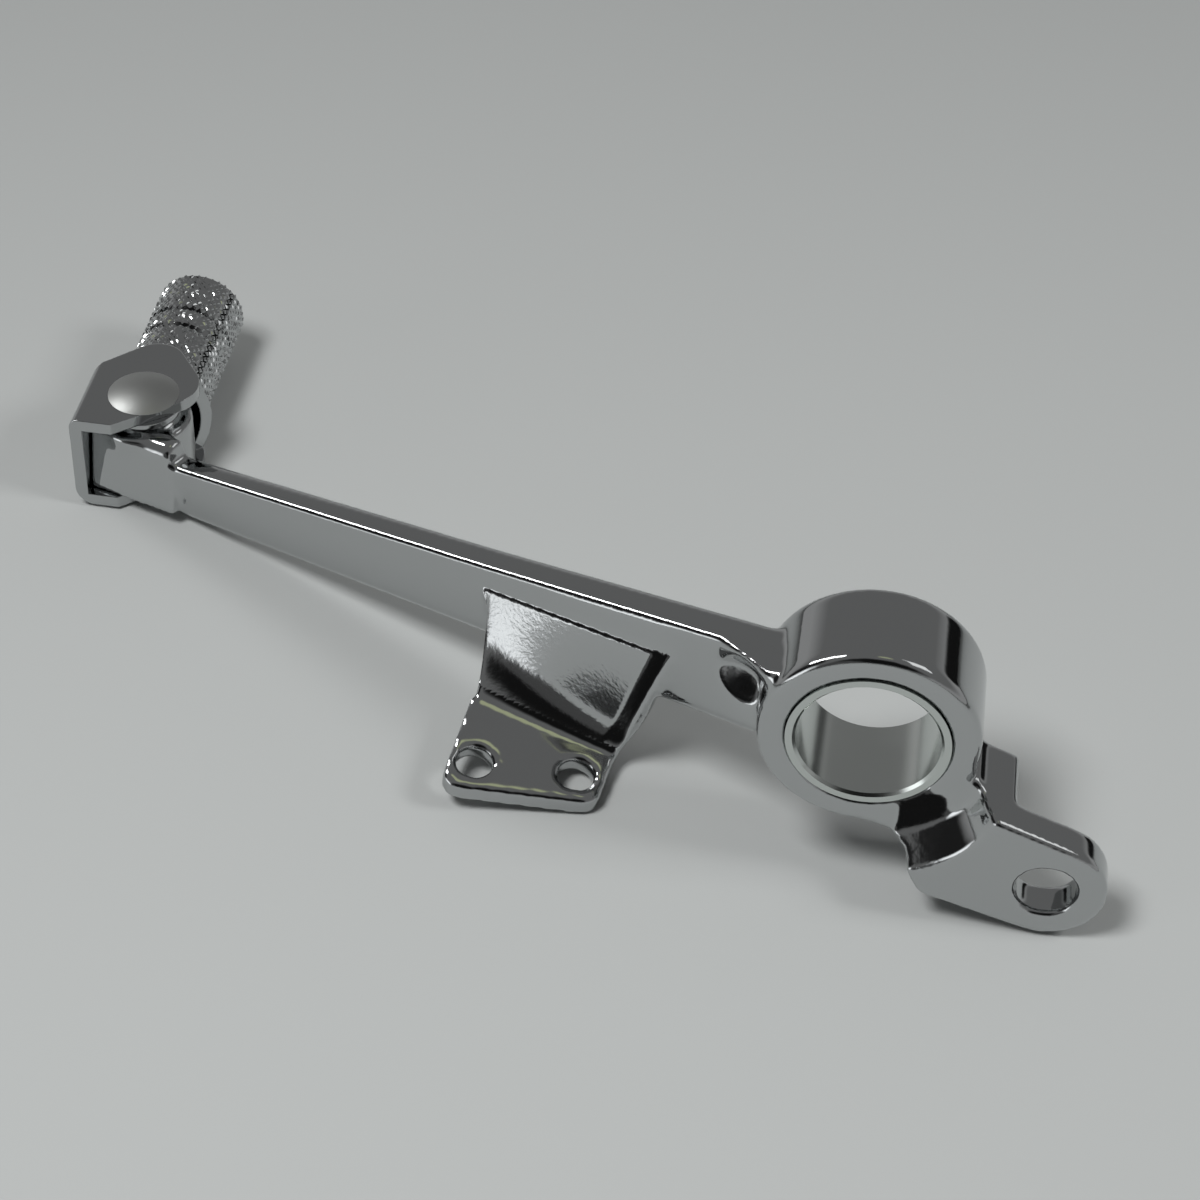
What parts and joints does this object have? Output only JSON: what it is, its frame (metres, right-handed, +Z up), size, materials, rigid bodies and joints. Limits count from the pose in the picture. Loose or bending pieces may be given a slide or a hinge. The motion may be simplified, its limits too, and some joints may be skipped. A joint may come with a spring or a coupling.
{
  "type": "rear brake pedal",
  "caption": "Plated brake lever on a bushed pivot, with a pushrod lug, a drilled flag plate and a sprung folding toe with a knurled peg.",
  "frame": {"origin": "centre of the pivot bore, on its axis, midway along the boss", "axes": "+Y along the pivot axis towards the outboard side that the toe peg points to; +X towards the rear, from the toe to the pushrod lug; +Z up"},
  "size_m": [0.1664, 0.1106, 0.0436],
  "materials": {
    "plated_casting": "bright plating over a cast and polished surface",
    "plated_steel": "bright plating over pressed and turned steel",
    "bush_steel": "turned, satin",
    "spring_steel": "plain"
  },
  "bodies": {
    "pedal": {"pedal_arm": "plated_casting", "pivot_bush": "bush_steel"},
    "toe": {"toe_bracket": "plated_steel", "toe_peg": "plated_steel", "hinge_rivet": "plated_steel", "hinge_washer": "spring_steel", "return_spring": "spring_steel"}
  },
  "joints": [
    {"name": "toe_fold", "type": "hinge", "parent": "pedal", "child": "toe", "pos_m": [-0.121, 0.062, -0.0189], "axis": [0, 0, 1], "range_deg": [-50, 0], "stiffness_Nm_per_rad": 0.05, "springref_deg": 51.57}
  ]
}
